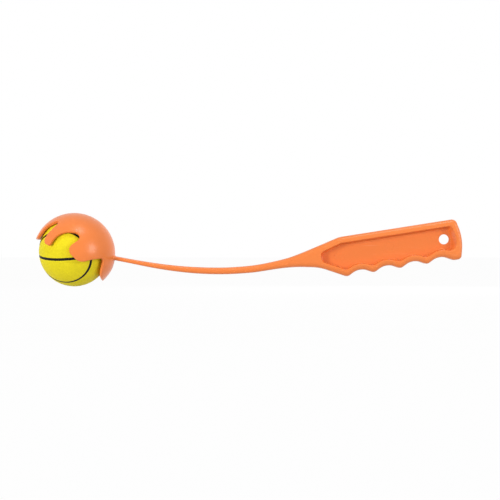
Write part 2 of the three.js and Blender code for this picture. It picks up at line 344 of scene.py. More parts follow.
class Outline:
    """A closed outline, anticlockwise. Each corner has its place and the radius of its rounding."""

    def __init__(self, corners, longest_chord, longest_stretch):
        self.corners = corners
        self.arc_pieces = []
        for i, (place, radius) in enumerate(corners):
            before = corners[i - 1][0] - place
            after = corners[(i + 1) % len(corners)][0] - place
            sweep = math.pi - before.angle(after)
            self.arc_pieces.append(max(2, math.ceil(sweep * radius / longest_chord)) if radius else 0)
        rough = self.rounded(corners)
        self.splits = []
        for a, b in zip(rough, rough[1:] + rough[:1]):
            self.splits.append(max(1, math.ceil((b - a).length / longest_stretch)))
        self.points = self.inset([0] * len(corners))

    def rounded(self, corners):
        """Points of the outline, with an arc for each round corner."""
        points = []
        for i, ((place, radius), pieces) in enumerate(zip(corners, self.arc_pieces)):
            if not pieces:
                points.append(place)
                continue
            before = (corners[i - 1][0] - place).normalized()
            after = (corners[(i + 1) % len(corners)][0] - place).normalized()
            half = before.angle(after) / 2
            centre = place + (before + after).normalized() * radius / math.sin(half)
            start = place + before * radius / math.tan(half) - centre
            sweep = math.copysign(math.pi - 2 * half, after.cross(before))
            for k in range(pieces + 1):
                points.append(centre + Matrix.Rotation(sweep * k / pieces, 2) @ start)
        return points

    def inset(self, insets):
        """Points of the outline with each side moved in by its own inset. A side follows its corner."""
        moved = []
        for i, (place, radius) in enumerate(self.corners):
            along = (place - self.corners[i - 1][0]).normalized()
            ahead = (self.corners[(i + 1) % len(self.corners)][0] - place).normalized()
            turn = along.cross(ahead)
            middle = (insets[i - 1] + insets[i]) / 2
            if abs(turn) < NEARLY_STRAIGHT:
                both = (along + ahead).normalized()
                shift = Vector((-both.y, both.x)) * middle
            else:
                shift = (ahead * insets[i - 1] - along * insets[i]) / turn
            if radius:
                radius = max(radius - math.copysign(middle, turn), LEAST_ROUND)
            moved.append((place + shift, radius))
        points = self.rounded(moved)
        split = []
        for a, b, pieces in zip(points, points[1:] + points[:1], self.splits):
            split += [a.lerp(b, k / pieces) for k in range(pieces)]
        return split


# Rings of vertices, each closed on itself

def ring_edges(bm, ring):
    return [bm.edges.get((a, b)) for a, b in zip(ring, ring[1:] + ring[:1])]


def extruded_ring(bm, ring):
    """A copy of a ring, joined to it by faces."""
    made = bmesh.ops.extrude_edge_only(bm, edges=ring_edges(bm, ring))["geom"]
    fresh = {item for item in made if isinstance(item, bmesh.types.BMVert)}
    copies = []
    for vert in ring:
        copies.append(next(e.other_vert(vert) for e in vert.link_edges if e.other_vert(vert) in fresh))
    return copies


def swept_ring(bm, ring, steps):
    """Extrude a ring step by step, each step with the places of its vertices."""
    for places in steps:
        ring = extruded_ring(bm, ring)
        for vert, place in zip(ring, places):
            vert.co = place
    return ring


def boundary_rings(bm):
    """The closed rings of boundary edges, in order."""
    left = dict.fromkeys(edge for edge in bm.edges if edge.is_boundary)
    rings = []
    while left:
        ring = list(left.popitem()[0].verts)
        while True:
            following = next((e for e in ring[-1].link_edges if e in left), None)
            if following is None:
                break
            del left[following]
            ring.append(following.other_vert(ring[-1]))
        if ring[-1] is ring[0]:
            ring.pop()
        rings.append(ring)
    return rings


def elements_of(faces):
    """The faces with their edges and vertices, each once and in order."""
    return list(dict.fromkeys(item for face in faces for item in (face, *face.edges, *face.verts)))


def faces_among(items):
    return [item for item in dict.fromkeys(items) if isinstance(item, bmesh.types.BMFace)]


def add_far_half(bm):
    """Mirror a half across the middle plane and weld it there."""
    half = bm.verts[:] + bm.edges[:] + bm.faces[:]
    bmesh.ops.mirror(bm, geom=half, matrix=Matrix.Identity(4), merge_dist=WELD_GAP, axis="Y")


def keep_between(bm, low, high):
    """Cut a mesh off square at two stations along X, and close the cuts."""
    for station, side in ((low, -1), (high, 1)):
        if station is None:
            continue
        bmesh.ops.bisect_plane(
            bm,
            geom=bm.verts[:] + bm.edges[:] + bm.faces[:],
            dist=CUT_GAP,
            plane_co=(station, 0, 0),
            plane_no=(side, 0, 0),
            clear_outer=True,
        )
        rim = [edge for edge in bm.edges if edge.is_boundary]
        bmesh.ops.holes_fill(bm, edges=rim, sides=0)


# The wand and the grip share one outline

def station_curve(column):
    """Smooth shares along the wand, through its stations."""
    runs = [row[0] for row in WAND_SHARES]
    values = [row[column] for row in WAND_SHARES]
    slopes = []
    for i in range(len(runs)):
        low, high = max(i - 1, 0), min(i + 1, len(runs) - 1)
        slopes.append((values[high] - values[low]) / (runs[high] - runs[low]))

    def value_at(run):
        i = max(k for k in range(len(runs) - 1) if runs[k] <= run or k == 0)
        span = runs[i + 1] - runs[i]
        t = (run - runs[i]) / span
        rise = 2 * t**3 - 3 * t**2
        return (
            (rise + 1) * values[i]
            - rise * values[i + 1]
            + span * ((t**3 - 2 * t**2 + t) * slopes[i] + (t**3 - t**2) * slopes[i + 1])
        )

    return value_at


def grip_point(u, v):
    return SHOULDER + Vector((
        u * math.cos(GRIP_TILT) - v * math.sin(GRIP_TILT),
        u * math.sin(GRIP_TILT) + v * math.cos(GRIP_TILT),
    ))


def finger_corners(lift, crest_round, valley_round, last):
    """Crests and valleys under the grip, lifted by the rim where they bound the recess."""
    corners = []
    for k in range(last + 1):
        u = FIRST_CREST + k * FINGER_PITCH / 2
        if k % 2:
            corners.append((grip_point(u, CREST_LEVEL + lift + FINGER_RISE), valley_round))
        else:
            corners.append((grip_point(u, CREST_LEVEL + lift), crest_round))
    return corners


def recess_butt_at(v):
    """The butt end of the recess runs side by side with the crowned butt."""
    slope = math.atan(2 * BUTT_CROWN / GRIP_HEIGHT)
    crown = BUTT_CROWN * (1 - abs(1 + 2 * v / GRIP_HEIGHT))
    return grip_point(GRIP_LENGTH + crown - BUTT_RIM / math.cos(slope), v)


class Lever:
    """Sizes of the wand and the grip, in millimetres."""

    def __init__(self, settings):
        self.thickness = in_mm(settings.wand_thickness)
        self.width_at_cup = in_mm(settings.wand_width_at_cup)
        self.waist_width = in_mm(settings.wand_width)
        self.grip_width = in_mm(settings.grip_width)
        self.web = in_mm(settings.web)
        self.edge_round = in_mm(settings.edge_round)
        self.butt_round = in_mm(settings.butt_round)
        self.bead_round = in_mm(settings.bead_round)
        self.floor_round = in_mm(settings.floor_round)
        self.hole_radius = in_mm(settings.hang_hole) / 2
        self.sag_at = station_curve(1)
        self.thickness_share_at = station_curve(2)

    def wand_edge(self, side):
        points = []
        for k in range(WAND_SAMPLES + 1):
            run = k / WAND_SAMPLES
            drop = WAND_SAG * self.sag_at(run)
            half = self.thickness * self.thickness_share_at(run) / 2
            points.append(WAND_ROOT + Vector((run * WAND_RUN, side * half - drop)))
        return points

    def outline(self):
        """The side outline, and how far the rounding reaches in from each of its sides."""
        corners = [(point, 0) for point in self.wand_edge(-1)]
        corners.append((BELLY, BELLY_ROUND))
        corners += finger_corners(0, CREST_ROUND, VALLEY_ROUND, 2 * CREST_COUNT - 2)
        toe = len(corners)
        corners.append((grip_point(GRIP_LENGTH, CREST_LEVEL), TOE_CORNER_ROUND))
        crown = grip_point(GRIP_LENGTH + BUTT_CROWN, -GRIP_HEIGHT / 2)
        corners.append((crown, BUTT_CROWN_ROUND_SHARE * GRIP_HEIGHT))
        corners.append((grip_point(GRIP_LENGTH, 0), BACK_CORNER_ROUND))
        corners.append((SHOULDER, SHOULDER_ROUND))
        corners += [(point, 0) for point in reversed(self.wand_edge(1))]
        rounds = [self.round_at(place.x) for place, _ in corners]
        rounds[toe] = rounds[toe + 1] = self.butt_round
        return Outline(corners, ARC_CHORD, LONGEST_STRETCH), rounds

    def recess_outline(self):
        """The outline of the recess, how far its wall leans in from each side, and its beads."""
        fingers = finger_corners(FINGER_RIM, RECESS_CREST_ROUND, RECESS_VALLEY_ROUND, 2 * CREST_COUNT - 3)
        corners = [
            (grip_point(-NOSE_REACH, NOSE_BOTTOM + NOSE_HEIGHT), NOSE_ROUND),
            (grip_point(-NOSE_REACH, NOSE_BOTTOM), NOSE_ROUND),
            *fingers,
            (recess_butt_at((TOE_RIM_SHARE - 1) * GRIP_HEIGHT), RECESS_TOE_ROUND_SHARE * GRIP_HEIGHT),
            (recess_butt_at(-GRIP_HEIGHT / 2), RECESS_CROWN_ROUND_SHARE * GRIP_HEIGHT),
            (recess_butt_at(-BACK_RIM), RECESS_BUTT_ROUND),
            (grip_point(0, -BACK_RIM), RECESS_BACK_ROUND),
        ]
        drafts = [NOSE_DRAFT] + [FINGER_DRAFT] * (SIDES_BEFORE_BUTT - 1)
        drafts += [BUTT_DRAFT, BUTT_DRAFT, BACK_DRAFT, BACK_DRAFT]
        beads = [self.bead_round] * len(corners)
        for k in (SIDES_BEFORE_BUTT, SIDES_BEFORE_BUTT + 1):
            beads[k] *= BUTT_BEAD_TIMES
        return Outline(corners, ARC_CHORD, LONGEST_STRETCH), drafts, beads

    def half_width_at(self, x):
        run = (x - WAND_ROOT.x) / WAND_RUN
        waisted = blend_between(self.width_at_cup, self.waist_width, smooth_share(run, *WAND_WAIST_SHARES))
        return blend_between(waisted, self.grip_width, smooth_share(run, *WAND_FLARE_SHARES)) / 2

    def round_at(self, x):
        run = min(max((x - WAND_ROOT.x) / WAND_RUN, 0), 1)
        thickness = self.thickness * self.thickness_share_at(run)
        return min(self.edge_round, thickness * THINNEST_FLAT_SHARE)

    def edge_places(self, outline, rounds, turn):
        """Places of one ring of the rounding, by the turn of its arc."""
        insets = [radius * (1 - math.cos(turn)) for radius in rounds]
        places = []
        for start, point in zip(outline.points, outline.inset(insets)):
            radius = self.round_at(start.x)
            y = self.half_width_at(start.x) - radius + radius * math.sin(turn)
            places.append((point.x, -y, point.y))
        return places


def arc_turns(steps):
    return [math.pi / 2 * k / steps for k in range(steps + 1)]


def add_face_between(bm, rings):
    """Fill the flat space between rings with faces."""
    edges = [edge for ring in rings for edge in ring_edges(bm, ring)]
    made = bmesh.ops.triangle_fill(bm, use_beauty=True, edges=edges, normal=(0, -1, 0))["geom"]
    return [item for item in made if isinstance(item, bmesh.types.BMFace)]


def circle_places(centre, radius, sides, y):
    places = []
    for k in range(sides):
        turn = 2 * math.pi * k / sides
        point = centre + radius * Vector((math.cos(turn), math.sin(turn)))
        places.append((point.x, y, point.y))
    return places


def add_ring(bm, places):
    """A closed ring of vertices."""
    ring = [bm.verts.new(place) for place in places]
    for a, b in zip(ring, ring[1:] + ring[:1]):
        bm.edges.new((a, b))
    return ring


def recess_wall(bm, lever):
    """The recess's leaning wall, rounded at its top and its bottom. Returns its top and bottom rings."""
    outline, drafts, beads = lever.recess_outline()
    floor = -lever.web / 2
    bead, foot = lever.bead_round, lever.floor_round

    def below_face(turn, flat):
        points = outline.inset([bead * math.sin(turn) - bead - flat for bead in beads])
        drop = bead * (1 - math.cos(turn))
        return [(point.x, drop - lever.half_width_at(point.x), point.y) for point in points]

    def over_floor(inset, y):
        return [(point.x, y, point.y) for point in outline.inset([draft + inset for draft in drafts])]

    top = add_ring(bm, below_face(0, FLAT_EDGE))
    steps = [below_face(turn, 0) for turn in arc_turns(ROUND_STEPS)]
    for turn in arc_turns(ROUND_STEPS):
        steps.append(over_floor(foot * (1 - math.cos(turn)), floor - foot * (1 - math.sin(turn))))
    steps.append(over_floor(foot + FLAT_EDGE, floor))
    return top, swept_ring(bm, top, steps)


def hang_hole_wall(bm, lever):
    """Near half of the hang hole's wall with its lip. Returns the ring round it on the web."""
    floor = -lever.web / 2
    centre = grip_point(GRIP_LENGTH - HANG_HOLE_INSET, -HANG_HOLE_DROP_SHARE * GRIP_HEIGHT)
    radius, lip = lever.hole_radius, HANG_HOLE_LIP
    ring = add_ring(bm, circle_places(centre, radius + lip + FLAT_EDGE, HANG_HOLE_SIDES, floor))
    steps = []
    for turn in arc_turns(LIP_STEPS):
        reach = radius + lip * (1 - math.sin(turn))
        steps.append(circle_places(centre, reach, HANG_HOLE_SIDES, floor + lip * (1 - math.cos(turn))))
    steps.append(circle_places(centre, radius, HANG_HOLE_SIDES, 0))
    swept_ring(bm, ring, steps)
    return ring


def pin_mark(bm, lever, centre, radius, depth, slope):
    """A shallow round dip in the web. Returns the ring round it."""
    floor = -lever.web / 2
    ring = add_ring(bm, circle_places(centre, radius + FLAT_EDGE, PIN_MARK_SIDES, floor))
    steps = [circle_places(centre, radius, PIN_MARK_SIDES, floor)]
    for inset in (slope, slope + FLAT_EDGE):
        steps.append(circle_places(centre, radius - inset, PIN_MARK_SIDES, floor + depth))
    bm.faces.new(swept_ring(bm, ring, steps))
    return ring


def add_recess(bm, lever):
    """The recess with its floor, its hang hole and its pin marks. Returns the ring round its top."""
    top, bottom = recess_wall(bm, lever)
    rings = [bottom, hang_hole_wall(bm, lever)]
    for u, v, radius, depth, slope in PIN_MARKS:
        rings.append(pin_mark(bm, lever, grip_point(u, v), radius, depth, slope))
    add_face_between(bm, rings)
    return top


def bend_to_flare(bm, lever, faces):
    """Cut the flat face where the wand widens into the grip, and bring the cuts out to its width."""
    start = WAND_ROOT.x + WAND_RUN
    end = WAND_ROOT.x + WAND_RUN * WAND_FLARE_SHARES[1]
    for k in range(1, FLARE_CUTS):
        x = blend_between(start, end, k / FLARE_CUTS)
        made = bmesh.ops.bisect_plane(
            bm, geom=elements_of(faces), dist=WELD_GAP, plane_co=(x, 0, 0), plane_no=(1, 0, 0)
        )
        faces = faces_among(made["geom"])
        for item in made["geom_cut"]:
            if isinstance(item, bmesh.types.BMVert):
                item.co.y = -lever.half_width_at(x)


def lever_mesh(settings):
    """The wand and the grip as one closed shell: its near half, mirrored to the far side."""
    lever = Lever(settings)
    outline, rounds = lever.outline()
    bm = bmesh.new()
    middle = add_ring(bm, [(point.x, 0, point.y) for point in outline.points])
    steps = [lever.edge_places(outline, rounds, turn) for turn in arc_turns(ROUND_STEPS)]
    edge = swept_ring(bm, middle, steps)
    bottom = edge[: WAND_SAMPLES + 1]
    top = edge[-WAND_SAMPLES - 1 :]
    sides = [bm.edges.get(pair) for side in (bottom, top) for pair in zip(side, side[1:])]
    bmesh.ops.bridge_loops(bm, edges=sides)
    grip = edge[WAND_SAMPLES : -WAND_SAMPLES]
    recess = add_recess(bm, lever)
    bend_to_flare(bm, lever, add_face_between(bm, [grip, recess]))
    add_far_half(bm)
    middle = [vert for vert in bm.verts if abs(vert.co.y) < ON_PLANE]
    bmesh.ops.remove_doubles(bm, verts=middle, dist=WELD_GAP)
    return bm


# The cup, in its own frame: Z towards the crown, X towards the front finger

def cup_frame():
    mouth = Vector((math.cos(MOUTH_TURN), 0, math.sin(MOUTH_TURN)))
    crown = -mouth
    across = Vector((0, -1, 0))
    front = across.cross(crown)
    return Matrix((front, across, crown)).transposed()


def to_plan(turn, reach):
    """A point of the cup's sphere on a flat plan, which keeps round corners round."""
    radius = PLAN_SCALE * math.tan(reach / 2)
    return Vector((radius * math.cos(turn), radius * math.sin(turn)))


def from_plan(x, y, radius):
    turn = math.atan2(y, x)
    reach = 2 * math.atan(math.hypot(x, y) / PLAN_SCALE)
    flat = math.sin(reach) * radius
    return Vector((flat * math.cos(turn), flat * math.sin(turn), math.cos(reach) * radius))


def rim_half():
    """Corners of half of the rim on the plan, closed along the plan's middle line."""
    corners = []
    for turn, reach, rounding in RIM_CORNERS:
        plan_round = PLAN_SCALE * math.radians(rounding) / (1 + math.cos(math.radians(reach)))
        corners.append((to_plan(math.radians(turn), math.radians(reach)), plan_round))
    front = (Vector((corners[0][0].x, 0)), 0)
    back = (Vector((corners[-1][0].x, 0)), 0)
    return [front, *corners, back]


def split_rim(sheet):
    """Split the sheet's rim to even steps on the sphere, and leave its middle line whole."""
    for edge in sheet.edges[:]:
        if all(abs(vert.co.y) < WELD_GAP for vert in edge.verts):
            continue
        middle = (edge.verts[0].co + edge.verts[1].co) / 2
        scale = (1 + math.cos(2 * math.atan(middle.length / PLAN_SCALE))) / PLAN_SCALE
        cuts = math.ceil(edge.calc_length() * scale / RIM_STEP) - 1
        if cuts > 0:
            bmesh.ops.subdivide_edges(sheet, edges=[edge], cuts=cuts)


def cut_in_grid(sheet, faces):
    """Cut large faces along the lines of a square grid."""
    count = math.floor(max(vert.co.length for vert in sheet.verts) / PLAN_GRID)
    for normal in (Vector((1, 0, 0)), Vector((0, 1, 0))):
        for k in range(-count, count + 1):
            made = bmesh.ops.bisect_plane(
                sheet,
                geom=elements_of(faces),
                dist=GRID_SNAP,
                plane_co=normal * k * PLAN_GRID,
                plane_no=normal,
            )
            faces = faces_among(made["geom"])


def add_sheet(bm, hole, radius):
    """One skin of the cup, from the rim to the wand's footprint if it has one. Returns its open rings."""
    corners = rim_half() + [(point, 0) for point in hole]
    sheet = bmesh.new()
    outline = Outline(corners, RIM_CHORD, PLAN_SCALE)
    sheet.faces.new([sheet.verts.new((point.x, point.y, 0)) for point in outline.points])
    split_rim(sheet)
    add_far_half(sheet)
    bmesh.ops.inset_region(
        sheet, faces=sheet.faces[:], thickness=RIM_BAND, use_boundary=True, use_even_offset=True
    )
    cut_in_grid(sheet, [face for face in sheet.faces if len(face.verts) > 4])
    for vert in sheet.verts:
        vert.co = from_plan(vert.co.x, vert.co.y, radius)
    copied = bpy.data.meshes.new("sheet")
    sheet.to_mesh(copied)
    sheet.free()
    before = set(bm.verts)
    bm.from_mesh(copied)
    bpy.data.meshes.remove(copied)
    return [ring for ring in boundary_rings(bm) if ring[0] not in before]


def wand_section(lever_settings, station):
    """The corners of the wand's section at a station, in order."""
    bm = lever_mesh(lever_settings)
    keep_between(bm, station, None)
    cap = min(bm.faces, key=lambda face: face.calc_center_median().x + face.normal.x)
    section = [loop.vert.co.copy() for loop in cap.loops]
    bm.free()
    return section


def root_rings(settings, lever_settings):
    """The wand's section at the end of its stub, and the fillet that carries it onto the cup."""
    station = in_mm(STUB_END - CUP_CENTRE.x)
    section = wand_section(lever_settings, station)
    centre = sum(section, Vector()) / len(section)
    lever = Lever(lever_settings)
    run = (station - WAND_ROOT.x) / WAND_RUN
    fall = -WAND_SAG * (lever.sag_at(run + SLOPE_RUN) - lever.sag_at(run)) / (SLOPE_RUN * WAND_RUN)
    back = Vector((-1, 0, -fall)).normalized()
    radius, fillet = in_mm(settings.radius), in_mm(settings.fillet)
    rings = [[] for _ in range(FILLET_STEPS + 1)]
    for i, point in enumerate(section):
        before, after = section[i - 1], section[(i + 1) % len(section)]
        out = (after - before).cross(Vector((1, 0, 0))).normalized()
        if out.dot(point - centre) < 0:
            out = -out
        along = point.dot(back)
        travel = -along - math.sqrt(along * along - point.length_squared + radius * radius)
        landing = point + back * travel
        start = landing - back * fillet
        end = (landing + out * fillet).normalized() * radius
        for k, ring in enumerate(rings):
            t = k / FILLET_STEPS
            ring.append(start * (1 - t) ** 2 + landing * 2 * t * (1 - t) + end * t * t)
    return [section, *rings]


def half_footprint(landing, to_cup):
    """Half of the wand's footprint on the plan, in order from its end by the heel."""
    places = []
    for point in landing:
        local = to_cup @ point
        places.append(to_plan(math.atan2(local.y, local.x), local.angle(CROWN)))
    start = max(range(len(places)), key=lambda i: (abs(places[i].y) < ON_PLANE, -places[i].x))
    places = places[start:] + places[:start]
    if places[1].y < 0:
        places = [places[0], *reversed(places[1:])]
    half = [place for place in places if place.y > -ON_PLANE]
    for place in half:
        place.y = 0 if abs(place.y) < ON_PLANE else place.y
    return half


def lean_heel(bm):
    """Lean the heel in towards the ball, more so near its tip and its middle."""
    for vert in bm.verts:
        side = math.pi - abs(math.atan2(vert.co.y, vert.co.x))
        share = smooth_share(vert.co.angle(CROWN), *HEEL_LEAN_REACHES)
        share *= 1 - smooth_share(side, 0, HEEL_HALF_TURN)
        vert.co = vert.co.normalized() * (vert.co.length - HEEL_LEAN * share)


def add_stub(bm, rings):
    """Carry the hole in the cup through the fillet to the wand's section, and close it there."""
    foot = boundary_rings(bm)[0]
    order = [min(range(len(rings[-1])), key=lambda i: (rings[-1][i] - vert.co).length) for vert in foot]
    swept_ring(bm, foot, [[places[i] for i in order] for places in reversed(rings[:-1])])
    bmesh.ops.remove_doubles(bm, verts=bm.verts[:], dist=WELD_GAP)
    bm.faces.new(boundary_rings(bm)[0])


def cup_mesh(settings, lever_settings):
    bm = bmesh.new()
    radius, wall = in_mm(settings.radius), in_mm(settings.wall)
    turn = cup_frame()
    rings = root_rings(settings, lever_settings)
    add_sheet(bm, [], radius - wall)
    foot, rim = sorted(add_sheet(bm, half_footprint(rings[-1], turn.transposed()), radius), key=len)
    for vert in extruded_ring(bm, rim):
        vert.co = vert.co.normalized() * (radius - wall)
    open_verts = dict.fromkeys(vert for edge in bm.edges if edge.is_boundary for vert in edge.verts)
    rim_verts = [vert for vert in open_verts if vert not in foot]
    bmesh.ops.remove_doubles(bm, verts=rim_verts, dist=RIM_WELD_GAP)
    bmesh.ops.recalc_face_normals(bm, faces=bm.faces[:])
    folded = [edge for edge in bm.edges if len(edge.link_faces) == 2]
    sharp = [edge for edge in folded if edge.calc_face_angle() > RIM_SHARP_ANGLE]
    bmesh.ops.bevel(
        bm,
        geom=sharp,
        offset=in_mm(settings.rim_round),
        offset_type="OFFSET",
        segments=RIM_ROUND_STEPS,
        profile=0.5,
        affect="EDGES",
        material=-1,
    )
    lean_heel(bm)
    bmesh.ops.rotate(bm, verts=bm.verts[:], cent=(0, 0, 0), matrix=turn)
    add_stub(bm, rings)
    return bm


# The ball

def seam_distance(direction, radius):
    """Distance along the ball's surface to the nearest seam, in millimetres."""
    pole_b = SEAM_MIDDLE * math.cos(SEAM_TURN_B) + SEAM_CROSS * math.sin(SEAM_TURN_B)
    loop_pole = SEAM_MIDDLE * math.cos(LOOP_TURN) + SEAM_CROSS * math.sin(LOOP_TURN)
    ahead = SEAM_POLE_A.cross(loop_pole)
    to_a = abs(math.asin(min(1, abs(direction.dot(SEAM_POLE_A)))))
    to_b = abs(math.asin(min(1, abs(direction.dot(pole_b)))))
    if direction.dot(pole_b) < 0:
        direction = direction.reflect(pole_b)
    along, side = direction.dot(SEAM_POLE_A), direction.dot(ahead)
    flat = math.hypot(along, side)
    turn = math.atan2(along, side)
    loop_reach = LOOP_REACH + LOOP_WAVE * math.cos(2 * turn) + LOOP_EGG * math.cos(turn)
    to_loop = abs(math.atan2(flat, direction.dot(loop_pole)) - loop_reach)
    return radius * min(to_a, to_b, to_loop)


def onto_seam_edge(direction, gap, half, radius):
    """Move a direction that lies near the seam's edge onto it."""
    slope = Vector([
        (seam_distance((direction + axis * SLOPE_TURN).normalized(), radius) - gap) / SLOPE_TURN
        for axis in Matrix.Identity(3)
    ])
    return (direction - slope * (gap - half) / slope.length_squared).normalized()


def ball_mesh(settings):
    """The ball with its grain and the grooves of its seams. Both are kept as attributes too, and the
    rubber's material paints shade into the grain's pits from its height.
    """
    bm = bmesh.new()
    radius = in_mm(settings.radius)
    half = in_mm(settings.seam_width) / 2
    depth = in_mm(settings.seam_depth)
    grain = in_mm(settings.grain_height)
    draws = random.Random(GRAIN_SEED)
    bmesh.ops.create_icosphere(bm, subdivisions=GRAIN_START, radius=radius)
    bmesh.ops.subdivide_edges(bm, edges=bm.edges[:], cuts=PIT_CUTS, use_grid_fill=True)
    pits = set(bm.verts)
    bmesh.ops.subdivide_edges(bm, edges=bm.edges[:], cuts=1, use_grid_fill=True)
    seam = bm.verts.layers.float.new("seam_distance")
    height = bm.verts.layers.float.new("grain_height")
    for vert in bm.verts:
        direction = vert.co.normalized()
        gap = seam_distance(direction, radius)
        if abs(gap - half) < SEAM_SNAP:
            direction = onto_seam_edge(direction, gap, half, radius)
            gap = half
        vert[seam] = gap
        share = draws.uniform(*(PIT_HEIGHT_SHARES if vert in pits else GROUND_HEIGHT_SHARES))
        away = smooth_share(gap, half + SEAM_LIP[0], half + SEAM_LIP[1])
        vert[height] = blend_between(1, share, away)
        sunk = depth * (1 - smooth_share(gap, half - SEAM_SHOULDER, half + SEAM_SHOULDER))
        vert.co = direction * (radius - grain * (1 - vert[height]) - sunk)
    return bm


# Materials

def feed(tree, node, inputs):
    """Link outputs to a node's inputs, and set the other inputs to their numbers and colours."""
    for name, value in inputs.items():
        if isinstance(value, bpy.types.NodeSocket):
            tree.links.new(value, node.inputs[name])
        else:
            node.inputs[name].default_value = value


def add_node(tree, kind, place, inputs=None, **values):
    node = tree.nodes.new(kind)
    node.location = place
    for name, value in values.items():
        setattr(node, name, value)
    feed(tree, node, inputs or {})
    return node


def add_math(tree, place, operation, *terms, clamped=False):
    inputs = dict(enumerate(terms))
    node = add_node(tree, "ShaderNodeMath", place, inputs, operation=operation, use_clamp=clamped)
    return node.outputs["Value"]


def add_range(tree, place, value, **ends):
    """A value carried from one range to another, whose ends are named as the node's inputs are."""
    inputs = {name.replace("_", " ").title(): end for name, end in ends.items()}
    return add_node(tree, "ShaderNodeMapRange", place, {"Value": value, **inputs}).outputs["Result"]


def new_group(name, inputs, outputs):
    """A node group with its sockets. Returns what its inputs give, and the node for its outputs."""
    group = bpy.data.node_groups.new(name, "ShaderNodeTree")
    for label, kind, default in inputs:
        socket = group.interface.new_socket(name=label, in_out="INPUT", socket_type=kind)
        socket.default_value = default
    for label, kind in outputs:
        group.interface.new_socket(name=label, in_out="OUTPUT", socket_type=kind)
    entry = add_node(group, "NodeGroupInput", (-800, 0))
    return group, entry.outputs, add_node(group, "NodeGroupOutput", (600, 0))


def surface_tone_group():
    """A slow drift of tone over a surface, as moulded plastic and rubber have."""
    name = "Thrower surface tone"
    if name in bpy.data.node_groups:
        return bpy.data.node_groups[name]
    inputs = (
        ("Vector", "NodeSocketVector", (0, 0, 0)),
        ("Color", "NodeSocketColor", (1, 1, 1, 1)),
        ("Scale", "NodeSocketFloat", 30),
        ("Spread", "NodeSocketFloat", 0.05),
    )
    outputs = (("Color", "NodeSocketColor"), ("Mask", "NodeSocketFloat"))
    group, given, leave = new_group(name, inputs, outputs)
    inputs = {"Vector": given["Vector"], "Scale": given["Scale"], "Detail": 4}
    noise = add_node(group, "ShaderNodeTexNoise", (-400, 0), inputs)
    centred = add_math(group, (-200, 0), "SUBTRACT", noise.outputs["Fac"], 0.5)
    gain = add_math(group, (0, 0), "MULTIPLY_ADD", centred, given["Spread"], 1)
    tone = add_node(group, "ShaderNodeHueSaturation", (200, 0), {"Value": gain, "Color": given["Color"]})
    feed(group, leave, {"Color": tone.outputs["Color"], "Mask": noise.outputs["Fac"]})
    return group


def fine_grain_group():
    """The height of a fine even grain."""
    name = "Thrower fine grain"
    if name in bpy.data.node_groups:
        return bpy.data.node_groups[name]
    inputs = (("Vector", "NodeSocketVector", (0, 0, 0)), ("Scale", "NodeSocketFloat", 2500))
    group, given, leave = new_group(name, inputs, (("Height", "NodeSocketFloat"),))
    inputs = {"Vector": given["Vector"], "Scale": given["Scale"], "Detail": 3}
    noise = add_node(group, "ShaderNodeTexNoise", (-200, 0), inputs)
    feed(group, leave, {"Height": noise.outputs["Fac"]})
    return group


def handling_marks_group():
    """Thin faint rubs, as handling leaves on plastic."""
    name = "Thrower handling marks"
    if name in bpy.data.node_groups:
        return bpy.data.node_groups[name]
    inputs = (("Vector", "NodeSocketVector", (0, 0, 0)), ("Amount", "NodeSocketFloat", 0.3))
    group, given, leave = new_group(name, inputs, (("Mask", "NodeSocketFloat"),))
    inputs = {"Vector": given["Vector"], "Rotation": RUB_TURN, "Scale": RUB_SCALE}
    stretched = add_node(group, "ShaderNodeMapping", (-600, 0), inputs).outputs["Vector"]
    inputs = {"Vector": stretched, "Scale": 1, "Detail": 2}
    noise = add_node(group, "ShaderNodeTexNoise", (-400, 0), inputs)
    thin = add_range(group, (-200, 0), noise.outputs["Fac"], from_min=0.66, from_max=0.74)
    feed(group, leave, {"Mask": add_math(group, (0, 0), "MULTIPLY", thin, given["Amount"])})
    return group


def placed_group(tree, group, place, vector, **values):
    inputs = {name.title(): value for name, value in values.items()}
    return add_node(tree, "ShaderNodeGroup", place, {"Vector": vector, **inputs}, node_tree=group)


def fresh_material(name):
    """A material with its node tree, its shader, and the place on the piece that patterns follow."""
    material = bpy.data.materials.new(name)
    material.use_nodes = True
    tree = material.node_tree
    shader = tree.nodes["Principled BSDF"]
    place = add_node(tree, "ShaderNodeTexCoord", (-1200, 0))
    return material, tree, shader, place.outputs["Object"]


def fine_bump(tree, place, scale, strength, height):
    """The normal of a surface with a fine grain."""
    grain = placed_group(tree, fine_grain_group(), (-900, -400), place, scale=scale)
    inputs = {"Strength": strength, "Distance": height, "Height": grain.outputs["Height"]}
    return add_node(tree, "ShaderNodeBump", (-400, -400), inputs).outputs["Normal"]


def plastic_material(base):
    """Satin moulded plastic with a fine grain and faint handling marks."""
    name = "Satin orange plastic"
    if name in bpy.data.materials:
        return bpy.data.materials[name]
    material, tree, shader, place = fresh_material(name)
    tone = placed_group(tree, surface_tone_group(), (-900, 200), place, scale=22, spread=0.05, color=base)
    marks = placed_group(tree, handling_marks_group(), (-900, -100), place, amount=0.25)
    inputs = {"Factor": marks.outputs["Mask"], "A": tone.outputs["Color"], "B": (0.95, 0.42, 0.2, 1)}
    rubbed = add_node(tree, "ShaderNodeMix", (-600, 200), inputs, data_type="RGBA")
    rough = add_range(tree, (-600, -50), tone.outputs["Mask"], to_min=0.24, to_max=0.34)
    feed(tree, shader, {
        "Base Color": rubbed.outputs["Result"],
        "Roughness": add_math(tree, (-400, -50), "ADD", rough, marks.outputs["Mask"]),
        "Specular IOR Level": 0.35,
        "Normal": fine_bump(tree, place, 2600, 0.15, PLASTIC_BUMP),
    })
    return material


